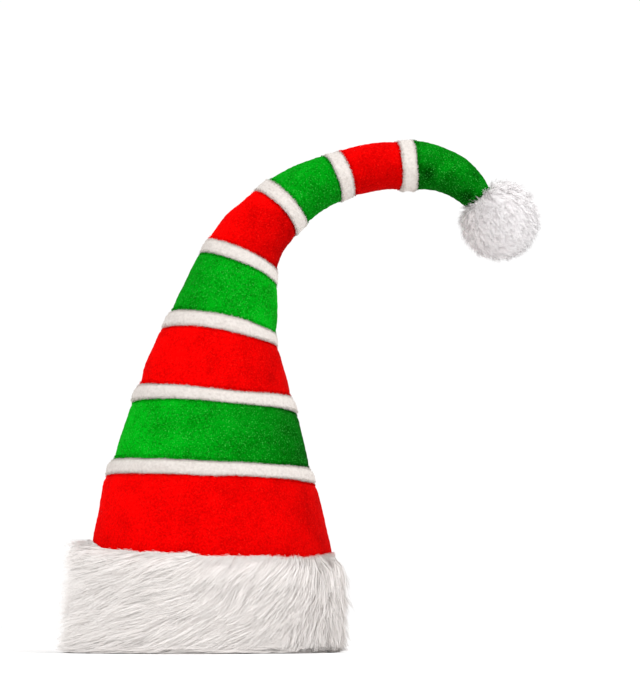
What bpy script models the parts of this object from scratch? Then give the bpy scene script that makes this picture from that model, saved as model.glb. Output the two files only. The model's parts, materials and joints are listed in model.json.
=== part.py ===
"""A long curved elf hat, built the way the real one is sewn: a padded striped sleeve over a red
lined head hollow, puffed white bands between the stripes, a fur trim round the rim and a pompom.

Metres, +Z up. The hat stands on its trim and bends over towards +X. It is alike in front and
behind, apart from its fur.
"""

import math
import random
from collections import namedtuple

import bmesh
import bpy
from mathutils import Vector

# Driving sizes
RIM_WIDTH = 0.220        # across the plush at the rim, along X
RIM_DEPTH = 0.176        # the same along Y
TRIM_HEIGHT = 0.090      # fur trim
CROWN_SHOWING = 0.0612   # first red stripe, from the fur to its band
PANEL_LENGTH = 0.0485    # each coloured stripe, along the hat
BAND_LENGTH = 0.0150     # each white band, along the hat
TIP_LENGTH = 0.069       # last green stripe, up to the pompom's seat
PLUSH_WALL = 0.003
LINING_WALL = 0.0015
CROWN_STUFFING = 0.0052  # from the top of the head hollow up to the first band
HOLLOW_WALL_SHARE = 0.69  # of the trim's height, where the head hollow starts to close
HEM_HEIGHT = 0.006       # fur folded under the plush and the lining
FUR_BACKING = 0.003
PILE = 0.016             # length of the trim's locks
FLOOR_CLEARANCE = 0.0015  # from what the hat stands on up to the lowest locks
BAND_PUFF = 0.0018       # how far a white band bulges
PANEL_PUFF = 0.0013      # how far a stripe bulges
POMPOM_CORE = 0.0585     # the pompom without its locks
POMPOM_PILE = 0.0060
GAP = 0.0003             # between pieces that touch
HOLLOW_DEPTH = TRIM_HEIGHT + CROWN_SHOWING - CROWN_STUFFING
HOLLOW_WALL = HOLLOW_WALL_SHARE * TRIM_HEIGHT

# How locks of fur lie, as shares of how far they stand out
TRIM_SWEEP = 0.55        # round the hat, towards -X in front
TRIM_FALL = 0.65
POMPOM_SWEEP = 0.30      # away from the tip
LOCK_WAIST = 0.72        # how wide a lock still is halfway out, as a share of its root

# Facets
RIM_SIDES = 44
TUBE_SIDES = 28
HOLLOW_RINGS = 5
HOLLOW_CAP_DEG = 8       # the flat cap at the hollow's top, as an angle round its dome
POMPOM_SIDES = 16
POMPOM_ROWS = 8
POMPOM_CAP_DEG = 12

# A row of locks for each of these, from the rim up, as shares of PILE
TRIM_FULLNESS = [0.85, 1.0, 1.0, 0.9, 0.75]

# A row for each stretch of the hat, from the rim to the tip. Bend is how far it turns towards +X,
# and shift how far its upper end sits off that arc towards +X, as a share of the rim's width.
# Width and depth are those at its upper end, as shares of the rim's.
Stretch = namedtuple("Stretch", "name length bend_deg shift width depth")
STRETCHES = [
    Stretch("behind_fur", TRIM_HEIGHT, 2.3, 0.020, 0.948, 0.960),
    Stretch("red_panel_1", CROWN_SHOWING, 0.3, -0.016, 0.836, 0.860),
    Stretch("white_band_1", BAND_LENGTH, 0.3, -0.001, 0.777, 0.810),
    Stretch("green_panel_1", PANEL_LENGTH, 1.0, -0.002, 0.664, 0.704),
    Stretch("white_band_2", BAND_LENGTH, 0.5, -0.002, 0.606, 0.652),
    Stretch("red_panel_2", PANEL_LENGTH, 5.0, -0.010, 0.469, 0.524),
    Stretch("white_band_3", BAND_LENGTH, 2.5, 0.003, 0.426, 0.482),
    Stretch("green_panel_2", PANEL_LENGTH, 9.5, -0.004, 0.333, 0.392),
    Stretch("white_band_4", BAND_LENGTH, 2.0, -0.008, 0.303, 0.360),
    Stretch("red_panel_3", PANEL_LENGTH, 20.5, 0.016, 0.242, 0.296),
    Stretch("white_band_5", BAND_LENGTH, 2.5, 0.002, 0.233, 0.288),
    Stretch("green_panel_3", PANEL_LENGTH, 19.5, 0.018, 0.194, 0.242),
    Stretch("white_band_6", BAND_LENGTH, 4.5, 0.003, 0.187, 0.234),
    Stretch("red_panel_4", PANEL_LENGTH, 11.0, 0.017, 0.198, 0.248),
    Stretch("white_band_7", BAND_LENGTH, 6.0, 0.003, 0.205, 0.256),
    Stretch("green_panel_4", TIP_LENGTH, 51.5, 0.016, 0.120, 0.150),
]

# Where a stretch has rings, as shares of its length. Closing is how far its size has gone there
# from the lower end's to the upper end's, and puff how far out it bulges.
Ring = namedtuple("Ring", "along closing puff")
PANEL_RINGS = [
    Ring(0.0, 0.0, 0.0),
    Ring(0.18, 0.16, 0.6),
    Ring(0.50, 0.46, 1.0),
    Ring(0.84, 0.77, 1.0),
    Ring(1.0, 1.0, 0.0),
]
BAND_RINGS = [
    Ring(0.0, 0.0, 0.0),
    Ring(0.25, 0.05, 0.9),
    Ring(0.55, 0.15, 1.0),
    Ring(0.82, 0.40, 0.8),
    Ring(1.0, 1.0, 0.0),
]

COLOURS = {
    "red": (0.80, 0.004, 0.004),
    "green": (0.0, 0.26, 0.012),
    "white": (0.84, 0.80, 0.77),
    "fur": (0.88, 0.88, 0.87),
    "lining": (0.55, 0.004, 0.006),
}

Section = namedtuple("Section", "centre lean half_width half_depth")


def across(lean):
    """The direction across the hat, towards +X, where it leans by that angle."""
    return Vector((math.cos(lean), 0.0, -math.sin(lean)))


def onward(lean):
    """The direction along the hat, towards its tip."""
    return Vector((math.sin(lean), 0.0, math.cos(lean)))


def arc_step(lean, length, bend):
    """From one end of an arc to the other, where it starts at that lean and turns by that bend."""
    if abs(bend) < 1e-6:
        return onward(lean) * length
    radius = length / bend
    end = lean + bend
    return Vector((radius * (math.cos(lean) - math.cos(end)), 0.0,
                   radius * (math.sin(end) - math.sin(lean))))


def seams():
    """The sections where the stretches meet, from the rim to the tip."""
    found = [Section(Vector((0.0, 0.0, 0.0)), 0.0, RIM_WIDTH / 2, RIM_DEPTH / 2)]
    for stretch in STRETCHES:
        below = found[-1]
        bend = math.radians(stretch.bend_deg)
        step = arc_step(below.lean, stretch.length, bend)
        step += across(below.lean + bend) * (stretch.shift * RIM_WIDTH)
        found.append(Section(
            below.centre + step,
            below.lean + bend,
            stretch.width * RIM_WIDTH / 2,
            stretch.depth * RIM_DEPTH / 2,
        ))
    return found


SEAMS = seams()
INDEX = {stretch.name: i for i, stretch in enumerate(STRETCHES)}


def section_at(name, along, closing=None, puff=0.0):
    """The hat's outer section part of the way up a stretch, puffed out by that much."""
    index = INDEX[name]
    stretch, below, above = STRETCHES[index], SEAMS[index], SEAMS[index + 1]
    closing = along if closing is None else closing
    bend = math.radians(stretch.bend_deg) * along
    step = arc_step(below.lean, stretch.length * along, bend)
    step += across(below.lean + bend) * (stretch.shift * RIM_WIDTH * along)
    return Section(
        below.centre + step,
        below.lean + bend,
        below.half_width + (above.half_width - below.half_width) * closing + puff,
        below.half_depth + (above.half_depth - below.half_depth) * closing + puff,
    )


def crown_section(height):
    """The outer section at that distance up from the rim, within the two lowest stretches."""
    if height <= TRIM_HEIGHT:
        return section_at("behind_fur", height / TRIM_HEIGHT)
    return section_at("red_panel_1", (height - TRIM_HEIGHT) / CROWN_SHOWING)


def moved(section, distance):
    """The section shifted along the hat."""
    return section._replace(centre=section.centre + onward(section.lean) * distance)


def grown(section, outward):
    """The section made larger all round, or smaller where the distance is negative."""
    return section._replace(
        half_width=section.half_width + outward,
        half_depth=section.half_depth + outward,
    )


def loop(section, sides):
    """The section's outline as points, anticlockwise seen from the tip."""
    points = []
    for k in range(sides):
        angle = 2 * math.pi * k / sides
        points.append(
            section.centre
            + across(section.lean) * (section.half_width * math.cos(angle))
            + Vector((0.0, section.half_depth * math.sin(angle), 0.0))
        )
    return points


def skin(bm, loops, closed):
    """Quads between each loop and the next. Where they aren't closed, flat caps end them."""
    rings = [[bm.verts.new(point) for point in points] for points in loops]
    sides = len(rings[0])
    pairs = list(zip(rings, rings[1:]))
    if closed:
        pairs.append((rings[-1], rings[0]))
    rows = []
    for lower, upper in pairs:
        rows.append([
            bm.faces.new((lower[k], lower[(k + 1) % sides], upper[(k + 1) % sides], upper[k]))
            for k in range(sides)
        ])
    if not closed:
        bm.faces.new(list(reversed(rings[0])))
        bm.faces.new(rings[-1])
    bm.normal_update()
    return rows


def raise_lock(bm, face, length, comb, floor=None):
    """Makes one face a lock of fur: a narrower waist halfway out, then a tip, both swept."""
    centre = face.calc_center_median()
    outward = face.normal.copy()
    corners = [vert.co.copy() for vert in face.verts]
    ends = list(face.verts)
    bmesh.ops.delete(bm, geom=[face], context="FACES_ONLY")

    def lifted(point, share):
        placed = point + (outward + comb) * (length * share)
        if floor is not None:
            placed.z = max(placed.z, floor)
        return placed

    waist = [bm.verts.new(lifted(centre.lerp(corner, LOCK_WAIST), 0.5)) for corner in corners]
    tip = bm.verts.new(lifted(centre, 1.0))
    count = len(ends)
    for k in range(count):
        after = (k + 1) % count
        bm.faces.new((ends[k], ends[after], waist[after], waist[k]))
        bm.faces.new((waist[k], waist[after], tip))


def add_object(name, bm, colour, roughness):
    """One named object from a mesh, with its own material."""
    mesh = bpy.data.meshes.new(name)
    bm.normal_update()
    bm.to_mesh(mesh)
    bm.free()
    mesh.shade_smooth()
    mesh.set_sharp_from_angle(angle=math.radians(40))
    material = bpy.data.materials.new(name)
    material.use_nodes = True
    shader = material.node_tree.nodes["Principled BSDF"]
    shader.inputs["Base Color"].default_value = (*COLOURS[colour], 1.0)
    shader.inputs["Roughness"].default_value = roughness
    shader.inputs["Metallic"].default_value = 0.0
    material.diffuse_color = (*COLOURS[colour], 1.0)
    mesh.materials.append(material)
    made = bpy.data.objects.new(name, mesh)
    bpy.context.scene.collection.objects.link(made)
    return made


def hollow_sections(outward):
    """Sections of the head hollow from its top down to the hem, grown by that much all round."""
    inset = outward - PLUSH_WALL - GAP - LINING_WALL
    spring = grown(crown_section(HOLLOW_WALL), inset)
    rise = HOLLOW_DEPTH - HOLLOW_WALL + outward
    steepest = math.radians(90 - HOLLOW_CAP_DEG)
    found = []
    for k in range(HOLLOW_RINGS, 0, -1):
        angle = steepest * k / HOLLOW_RINGS
        here = crown_section(HOLLOW_WALL + rise * math.sin(angle))
        found.append(here._replace(
            half_width=spring.half_width * math.cos(angle),
            half_depth=spring.half_depth * math.cos(angle),
        ))
    found.append(spring)
    found.append(grown(crown_section(HEM_HEIGHT + GAP), inset))
    return found


def make_crown():
    """The lowest red stripe: padded plush from the hem to the first band, over the head hollow."""
    inner = hollow_sections(LINING_WALL + GAP)
    outer = [crown_section(HEM_HEIGHT + GAP), section_at("behind_fur", 1.0)]
    outer += [
        section_at("red_panel_1", ring.along, ring.closing, ring.puff * PANEL_PUFF)
        for ring in PANEL_RINGS[1:-1]
    ]
    outer.append(moved(SEAMS[INDEX["red_panel_1"] + 1], -GAP / 2))
    bm = bmesh.new()
    skin(bm, [loop(section, RIM_SIDES) for section in inner + outer], closed=False)
    return add_object("red_panel_1", bm, "red", 0.85)


def make_lining():
    """The red lining: a thin dome with its open end on the hem."""
    inner = hollow_sections(0.0)
    outer = list(reversed(hollow_sections(LINING_WALL)))
    bm = bmesh.new()
    skin(bm, [loop(section, RIM_SIDES) for section in inner + outer], closed=False)
    return add_object("lining", bm, "lining", 0.7)


def make_stripe(stretch, rings, puff, colour, roughness):
    """A stuffed stripe or band, with flat ends that stay clear of its neighbours."""
    index = INDEX[stretch.name]
    loops = [moved(SEAMS[index], GAP / 2)]
    loops += [
        section_at(stretch.name, ring.along, ring.closing, ring.puff * puff)
        for ring in rings[1:-1]
    ]
    loops.append(moved(SEAMS[index + 1], -GAP / 2))
    bm = bmesh.new()
    skin(bm, [loop(section, TUBE_SIDES) for section in loops], closed=False)
    return add_object(stretch.name, bm, colour, roughness)


def make_trim(chance):
    """The fur trim: a backing round the plush, folded under it as a hem, with locks all round."""
    rows = len(TRIM_FULLNESS)
    plush = [crown_section(TRIM_HEIGHT * k / rows) for k in range(rows + 1)]
    inside = -(PLUSH_WALL + GAP + LINING_WALL)
    hem = crown_section(HEM_HEIGHT)
    sections = [grown(section, GAP + FUR_BACKING) for section in plush] + [
        grown(plush[-1], GAP),
        grown(hem, GAP),
        grown(hem, inside),
        grown(plush[0], inside),
    ]
    bm = bmesh.new()
    quads = skin(bm, [loop(section, RIM_SIDES) for section in sections], closed=True)
    up = Vector((0.0, 0.0, 1.0))
    for fullness, row in zip(TRIM_FULLNESS, quads):
        for face in row:
            comb = face.normal.cross(up).normalized() * -TRIM_SWEEP - up * TRIM_FALL
            length = PILE * fullness * chance.uniform(0.85, 1.0)
            raise_lock(bm, face, length, comb, FLOOR_CLEARANCE)
    return add_object("fur_trim", bm, "fur", 0.95)


def make_pompom(chance):
    """The pompom: a ball with a flat seat against the tip, and locks all over."""
    tip = SEAMS[-1]
    radius = POMPOM_CORE / 2
    seat = math.asin(tip.half_width / radius)
    last = math.pi - math.radians(POMPOM_CAP_DEG)
    axis = onward(tip.lean)
    centre = tip.centre + axis * (GAP / 2 + radius * math.cos(seat))
    loops = []
    for k in range(POMPOM_ROWS + 1):
        angle = seat + (last - seat) * k / POMPOM_ROWS
        at = centre - axis * (radius * math.cos(angle))
        size = radius * math.sin(angle)
        loops.append(loop(Section(at, tip.lean, size, size), POMPOM_SIDES))
    bm = bmesh.new()
    for row in skin(bm, loops, closed=False):
        for face in row:
            length = POMPOM_PILE * chance.uniform(0.8, 1.1)
            raise_lock(bm, face, length, axis * POMPOM_SWEEP)
    return add_object("pompom", bm, "fur", 0.95)


def stand_at_origin(objects):
    """Moves the hat so that the middle of its footprint box is at the origin, on Z = 0."""
    corners = [vert.co for made in objects for vert in made.data.vertices]
    low = Vector([min(corner[axis] for corner in corners) for axis in range(3)])
    high = Vector([max(corner[axis] for corner in corners) for axis in range(3)])
    shift = Vector((-(low.x + high.x) / 2, -(low.y + high.y) / 2, -low.z))
    for made in objects:
        for vert in made.data.vertices:
            vert.co += shift


def main():
    for old in list(bpy.data.objects):
        bpy.data.objects.remove(old)
    chance = random.Random(7)
    made = [make_trim(chance), make_lining(), make_crown()]
    for stretch in STRETCHES[2:]:
        if stretch.name.startswith("white"):
            made.append(make_stripe(stretch, BAND_RINGS, BAND_PUFF, "white", 0.9))
        else:
            colour = stretch.name.split("_")[0]
            made.append(make_stripe(stretch, PANEL_RINGS, PANEL_PUFF, colour, 0.85))
    made.append(make_pompom(chance))
    stand_at_origin(made)


main()
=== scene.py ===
"""The looks of a long curved elf hat: padded plush stripes, fleece bands, long fur and a pompom.

Metres, +Z up. The hat stands on its fur trim and curls over towards +X, and its front is -Y.
"""

import json
import math
from collections import namedtuple
from itertools import product

import bpy
import numpy as np
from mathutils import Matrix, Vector
from numpy.random import default_rng


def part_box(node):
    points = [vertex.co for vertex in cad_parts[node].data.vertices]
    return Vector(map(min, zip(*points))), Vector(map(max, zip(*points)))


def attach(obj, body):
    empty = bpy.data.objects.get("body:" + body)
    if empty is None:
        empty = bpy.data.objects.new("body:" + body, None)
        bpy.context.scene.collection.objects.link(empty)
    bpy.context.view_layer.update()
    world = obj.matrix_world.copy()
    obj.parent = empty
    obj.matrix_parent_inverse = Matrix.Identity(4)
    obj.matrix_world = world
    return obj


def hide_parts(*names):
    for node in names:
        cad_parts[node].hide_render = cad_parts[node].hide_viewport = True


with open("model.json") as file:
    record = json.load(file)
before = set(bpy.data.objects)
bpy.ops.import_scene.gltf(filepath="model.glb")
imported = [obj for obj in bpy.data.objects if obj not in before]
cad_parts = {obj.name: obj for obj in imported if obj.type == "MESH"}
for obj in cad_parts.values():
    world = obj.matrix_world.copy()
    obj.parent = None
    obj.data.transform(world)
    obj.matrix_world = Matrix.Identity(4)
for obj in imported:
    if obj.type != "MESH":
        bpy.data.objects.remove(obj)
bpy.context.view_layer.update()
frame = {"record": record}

TURN = 2 * math.pi
BACK = np.array((0.0, 1.0, 0.0))
LEAST_LENGTH = 1e-9

# The hat's sizes, as in the CAD
RIM_WIDTH = 0.220
RIM_DEPTH = 0.176
MEAN_RADIUS = (RIM_WIDTH + RIM_DEPTH) / 4
TRIM_HEIGHT = 0.090
CROWN_SHOWING = 0.0612
PANEL_LENGTH = 0.0485
BAND_LENGTH = 0.0150
TIP_LENGTH = 0.069
PLUSH_WALL = 0.003
LINING_WALL = 0.0015
CROWN_STUFFING = 0.0052
HEM_HEIGHT = 0.006
FUR_BACKING = 0.003
POMPOM_CORE = 0.0585
GAP = 0.0003
HOLLOW_DEPTH = TRIM_HEIGHT + CROWN_SHOWING - CROWN_STUFFING
HOLLOW_WALL = 0.69 * TRIM_HEIGHT  # the height at which its dome starts

# A row for each stretch of the hat, from the rim to the tip, as in the CAD. Width and depth are
# those at its upper end, as shares of the rim's, and shift is a share of the rim's width. Rise is
# how far its upper edge lies from its place along the hat: on the side that the tip curls away
# from, in front (and behind), and on the side that it curls towards.
Stretch = namedtuple("Stretch", "name length bend_deg shift width depth rise")
LEVEL = (0.0, 0.0, 0.0)
STRETCHES = [Stretch(*row) for row in (
    ("behind_fur", TRIM_HEIGHT, 2.3, 0.020, 0.948, 0.960, LEVEL),
    ("red_panel_1", CROWN_SHOWING, 0.3, -0.016, 0.836, 0.860, (-0.0013, -0.0007, 0.0023)),
    ("white_band_1", BAND_LENGTH, 0.3, -0.001, 0.777, 0.810, (-0.0015, -0.0040, -0.0005)),
    ("green_panel_1", PANEL_LENGTH, 1.0, -0.002, 0.664, 0.704, (-0.0004, 0.0008, 0.0005)),
    ("white_band_2", BAND_LENGTH, 0.5, -0.002, 0.606, 0.652, (0.0003, -0.0040, 0.0003)),
    ("red_panel_2", PANEL_LENGTH, 5.0, -0.010, 0.469, 0.524, (-0.0018, 0.0008, -0.0002)),
    ("white_band_3", BAND_LENGTH, 2.5, 0.003, 0.426, 0.482, (-0.0025, -0.0012, -0.0026)),
    ("green_panel_2", PANEL_LENGTH, 9.5, -0.004, 0.333, 0.392, (0.0012, 0.0008, -0.0010)),
    ("white_band_4", BAND_LENGTH, 2.0, -0.008, 0.303, 0.360, (-0.0026, -0.0024, -0.0030)),
    ("red_panel_3", PANEL_LENGTH, 20.5, 0.016, 0.242, 0.296, (0.0006, 0.0009, -0.0018)),
    ("white_band_5", BAND_LENGTH, 2.5, 0.002, 0.233, 0.288, (0.0006, -0.0010, -0.0009)),
    ("green_panel_3", PANEL_LENGTH, 19.5, 0.018, 0.194, 0.242, (0.0, -0.0007, -0.0014)),
    ("white_band_6", BAND_LENGTH, 4.5, 0.003, 0.187, 0.234, (-0.0028, -0.0020, -0.0024)),
    ("red_panel_4", PANEL_LENGTH, 11.0, 0.017, 0.198, 0.248, (0.0002, -0.0016, -0.0026)),
    ("white_band_7", BAND_LENGTH, 6.0, 0.003, 0.205, 0.256, (-0.0030, -0.0031, -0.0010)),
    ("green_panel_4", TIP_LENGTH, 51.5, 0.016, 0.120, 0.150, LEVEL),
)]
INDEX = {stretch.name: i for i, stretch in enumerate(STRETCHES)}
FUR_LINE = (-0.0040, -0.0080, 0.0008)  # the rise of the trim's upper edge
CROWN_SEED = 61
STRIPE_SEEDS = range(70, 210, 10)

# Dents and bumps of the stripes. Each has its angle round the hat in degrees (0 is +X and -90 the
# front), its share of the way along the stripe, how far it stands out, and its reach.
DENTS = {
    "red_panel_1": [(-100, 0.50, 0.0012, 0.025), (0, 0.10, 0.0028, 0.034)],
    "green_panel_1": [(-60, 0.55, 0.0010, 0.018), (180, 0.62, -0.0018, 0.018), (0, 0.10, 0.0018, 0.014)],
    "red_panel_2": [(0, 0.28, 0.0020, 0.013)],
    "green_panel_2": [(180, 0.45, -0.0018, 0.014), (0, 0.30, 0.0020, 0.018)],
    "red_panel_3": [(180, 0.72, -0.0018, 0.009), (0, 0.55, -0.0022, 0.016)],
    "red_panel_4": [(180, 0.30, 0.0014, 0.020), (0, 0.65, -0.0019, 0.020)],
    "green_panel_4": [(180, 0.40, 0.0017, 0.030), (0, 0.40, -0.0018, 0.030), (-75, 0.35, -0.0010, 0.010)],
}
# Places where their pile is crushed, with how much deeper it looks in place of how far it stands out
CRUSHES = {
    "red_panel_1": [
        (-88, 0.80, 0.55, 0.011), (-104, 0.30, 0.30, 0.010), (-38, 0.62, 0.50, 0.012),
        (-24, 0.20, 0.50, 0.013), (-58, 0.45, -0.30, 0.014),
    ],
    "red_panel_2": [(-50, 0.30, 0.35, 0.012)],
    "red_panel_3": [(-30, 0.40, 0.35, 0.011), (-110, 0.45, 0.30, 0.010)],
    "red_panel_4": [(-45, 0.50, 0.50, 0.011)],
    "green_panel_4": [
        (-60, 0.14, 0.50, 0.007), (-95, 0.38, -0.35, 0.008), (-50, 0.85, 0.45, 0.008),
        (-135, 0.75, 0.35, 0.009),
    ],
}
# Stripes whose painted shade differs from the others': how much deeper it is painted all over, and
# the share of the painted difference between its sides
PAINTED_SHADE_BY_STRIPE = {
    "green_panel_2": (-0.33, -0.13),
    "green_panel_3": (0.0, 0.35),
    "red_panel_3": (0.45, 1.4),
    "green_panel_4": (-0.24, 1.0),
}
AS_OTHERS = (0.0, 1.0)
TURNED_PAINTED_SHADE = 0.8  # how much darker the painted shade makes the pile where the hat has turned over
TURNED_LEAN = (0.95, 1.50)
TURNED_EVENING = 0.7  # how far that painted shade takes over from the painted difference between the sides

# Noise: layers of it have a size, a wavelength and a seed each
WAVES = 18
FINE_WAVES = 40
WAVE_SPREAD = (0.7, 1.5)
SEAM_SEED = 100
LINE_NOISE = ((0.0006, 0.035, 34), (0.0004, 0.012, 35))
SWIRLS = ((10, 0.045, 31), (5, 0.018, 32))
LOCK_NOISE = ((0.10, 0.013, 33), (0.05, 0.005, 37))
FLARE_NOISE = (0.006, 38)
LIFT_NOISE = (0.012, 36)
BACKING_NOISE = (0.006, 41)
CORE_NOISE = (0.005, 43)
SWEEP_NOISE = (0.3, 24)
LINING_NOISE = (0.035, 51)

# Plush stripes. A pair for turning in is how far rounded ends do in front, and how much further at
# the sides.
PANEL_PUFF = 0.0007
PUFF_POWERS = (5, 14)  # how soon the puff starts, and how late it ends
LATE_CLOSING = 0.08  # the share of a stripe's narrowing that comes late, and how late
LATE_POWER = 8
PANEL_CELL = 0.0015  # the size of a panel's faces
HIDDEN_CELL = 0.006  # the same where fur covers the plush
ROUND_ROWS = 6
END_DEPTH = 0.003  # how far a stripe's end turns in under its neighbour
PANEL_LOWER_ROUND = 0.0004
PANEL_UPPER_ROUND = 0.0062
ROUND_LIMIT = 0.12  # the most that it is, as a share of the stripe's half width
PANEL_TURN_IN = (0.14, 0.42)
PANEL_SLACK = (0.00035, 0.060)  # padding makes a stripe uneven: how far, and the wavelength
FINE_SLACK = (0.00014, 0.024)
SLACK_REACH = 0.014  # how far from a seam that starts
PANEL_GRAIN = (0.00012, 0.0040)  # how rough the pile makes it
SEAM_WANDER = (0.0004, 0.070)  # how far a seam strays along the hat
WANDER_REACH = 0.008
PUCKER = (0.00025, 0.013)  # how deep the gathers beside a seam are
PUCKER_REACH = 0.006
BACK_SEAM_DEPTH = 0.0014
BACK_SEAM_WIDTH = 0.0030
FIRST_SHOWN = 0.001  # where the first stripe's fine rows start, above the fur line
FUR_LINE_REACH = 0.030
HOLLOW_ROWS = 16
HOLLOW_CAP_DEG = 4

# Tufts: the size of one, and how many there are for each metre of a seam or each square metre
Tuft = namedtuple("Tuft", "length width count")
PILE = Tuft(0.0022, 0.00042, 9000)
BAND_EDGE = Tuft(0.0022, 0.00042, 8500)
NAP = Tuft(0.0014, 0.00028, 750000)
PILE_REACH = 0.0026  # from a seam to the roots of its tufts
NAP_MARGIN = 0.0004
TUFT_LEAN = 0.7
TUFT_ROOT = 0.0002
LEAST_TUFT = 0.5

# Fleece bands
BAND_PUFF = 0.0003
SLIM_BAND_PUFF = 0.0010  # how much further a band puffs out where the hat hardly narrows
SLIM_NARROWING = 0.0045
BULGE_POWER = 4
BAND_CLOSING = 3.0
BAND_CELL = 0.0011
BAND_LOWER_ROUND = 0.0026
BAND_UPPER_ROUND = 0.65  # as a share of how much narrower the stripe above is
LEAST_BAND_ROUND = 0.0020
BAND_TURN_IN = (0.24, 0.70)
BAND_SLACK = (0.0003, 0.018)
BAND_GRAIN = (0.00014, 0.0042)

# Fur: the width of strands and how it varies, and how far they twist either way
Hair = namedtuple("Hair", "width widths twist_deg")
TRIM_LOOKS = Hair(0.00036, (0.6, 1.15), 55)
EDGE_LOOKS = Hair(0.00036, (0.5, 0.9), 50)
BALL_LOOKS = Hair(0.000252, (0.6, 1.1), 60)
HAIR_TAPER = np.array((0.85, 1.0, 0.75, 0.0))
HAIR_SHARES = np.array((0.0, 0.33, 0.67, 1.0))
HAIR_CORNERS = np.array((0, 1, 3, 2, 2, 3, 5, 4, 4, 5, 6))
HAIR_FACES = (4, 4, 3)
HAIR_POINTS = 7
TONE_SPREAD = 0.45  # how differently strands are toned, as a share of their length
NORMAL_BLEND = 0.90  # how far a strand is shaded as the fur around it
UNDERCOAT = 0.0005

# The trim's strands
TRIM_HALVES = {"fur_trim_strands_1": 71, "fur_trim_strands_2": 72}
HALF_STRANDS = 39000
TRIM_HAIR = 0.034  # a strand's length, and how it varies
TRIM_HAIRS = (0.72, 1.1)
LOWEST_ROOT = 0.001  # as a share of the trim's height
EDGE_SHARE = 0.07  # the share of strands that grow just below the fur line, and how near it
EDGE_NEAR = 0.05
FALL_DEG = 42  # how steeply they lie in front, and how much more so on the inner side
INNER_FALL_DEG = 24
LEAST_FALL_DEG = 9
LOOSE_DEG = 7
TRIM_CLUMP = 0.0070  # from one lock to the next
LOCK_JITTER = 0.45
LOCK_SEED = 17
TRIM_GATHER = 0.45  # how far a strand's tip is drawn to the middle of its lock
GATHERS = (0.2, 1.25)
GATHER_POWER = 1.4
TRIM_LOFT = 0.0120  # how far the fur stands out from its backing
INNER_LOFT = 0.0002
LOFTS = (0.45, 1.05)
FLYAWAY = 0.12  # the share of strands that stand out from the rest
FLYAWAY_LOFTS = (1.0, 1.40)
SHOULDER = 0.20  # how much closer it lies at the fur line on the inner side
SHOULDER_REACH = 0.014  # how far below the fur line the fur is at its full loft
HEM_LOFT = 0.62
HEM_CLOSING = 0.25  # how much closer the fur lies at the hem on the inner side
HEM_REACH = 0.016  # how far above the floor the fur is at its full loft
UPPER_LOFT = 0.30  # how much further it stands out above, on the outer side
RISING = 1.8  # how soon strands stand out, and how much sooner near the fur line
SOONER_RISING = 1.6
SOONER_REACH = 0.020
FLARE = 0.85  # how far locks stand off where the rim curves away from them
OUTER_FLARE = 0.45  # how much further they do on the outer side
FLARE_SPREAD = 0.6
FLARE_FADE = (-0.4, 2.2)
FUR_ROOT = 0.0022  # how deep strands start, from the plush
OVER_LINE = 0.0012  # how far strands go over the fur line
FUR_FLOOR = 0.0005  # the lowest that fur hangs
FLOOR_EASE = 0.0030  # how gently fur meets the floor
FLOOR_LIFT = 0.0022  # how unevenly its locks end above it
SPREAD_ON_FLOOR = 0.10
TUFT_HEIGHT = 0.0088  # how much higher the fur line is at the outer end
TUFT_ANGLE = 0.22

# Short loose hair along the fur line
EDGE_SEED = 73
EDGE_STRANDS = 5000
EDGE_HAIR = 0.0046
EDGE_HAIRS = (0.4, 1.0)
EDGE_ROOTS = 0.004
EDGE_RISE_DEG = (-70, 60)
EDGE_DROOP = 0.4
EDGE_LOFT = 0.0035
EDGE_LOFTS = (0.5, 1.2)

# The trim's backing with its undercoat, whose depth is a share in front less one to the inner side
BACKING_SIDES = 220
BACKING_LEVELS = 24
BACKING_FOOT = 0.0008
BACKING_MARGIN = 0.003  # from the backing's upper edge to the fur line
BACKING_THINNED = 0.0022  # how much thinner the backing is at its upper edge
THINNED_REACH = (0.003, 0.018)
UNDERCOAT_DEPTH = 0.0032
UNDERCOAT_SHARES = (0.75, 0.25)
UNDERCOAT_FOOT = 0.02
UNDERCOAT_REACH = (0.004, 0.034)
INNER_REACH = 0.010

# The pompom
POMPOM_SEED = 23
POMPOM_STRANDS = 38000
POMPOM_LOCKS = 2900
POMPOM_RADIUS = 0.0384
POMPOM_HAIRS = (0.87, 1.0)
POMPOM_UNEVEN = 0.042  # how differently its locks reach out
POMPOM_HEART = 0.0300  # the ball that the pompom's strands grow from
POMPOM_ROOT = 0.0280
POMPOM_BARE = 0.02  # beside the seat, as an angle
POMPOM_LOOSE = 0.05
POMPOM_GATHER = 0.44
POMPOM_SWEEP = 0.46  # how far its locks lean away from the tip, and how that varies
SWEEP_SPREADS = (0.12, 0.08)
SWEEP_POWER = 1.4
POMPOM_RISING = 1.5
UPRIGHT = 0.36  # the share of its locks that stand up from the rest, and how they differ
UPRIGHT_REACH = 1.045
UPRIGHT_GATHER = 1.9
UPRIGHT_SWEEP = 0.40
POMPOM_STRAY = 0.012
POMPOM_SHIFT = (0.0024, 0.0, 0.0009)
BALL_BLEND = 0.925
BALL_CHUNKS = 40
CORE_SIDES = 64
CORE_LEVELS = 26
CORE_ENDS = (0.35, 0.08)
CORE_NECK = 0.94

# The lining's cut is two gores that make its width at the hem.
LINING_SIDES = 240
LINING_SLACK = 0.0012
LINING_TAUT = 0.03  # how high above the floor its slack is full
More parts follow.
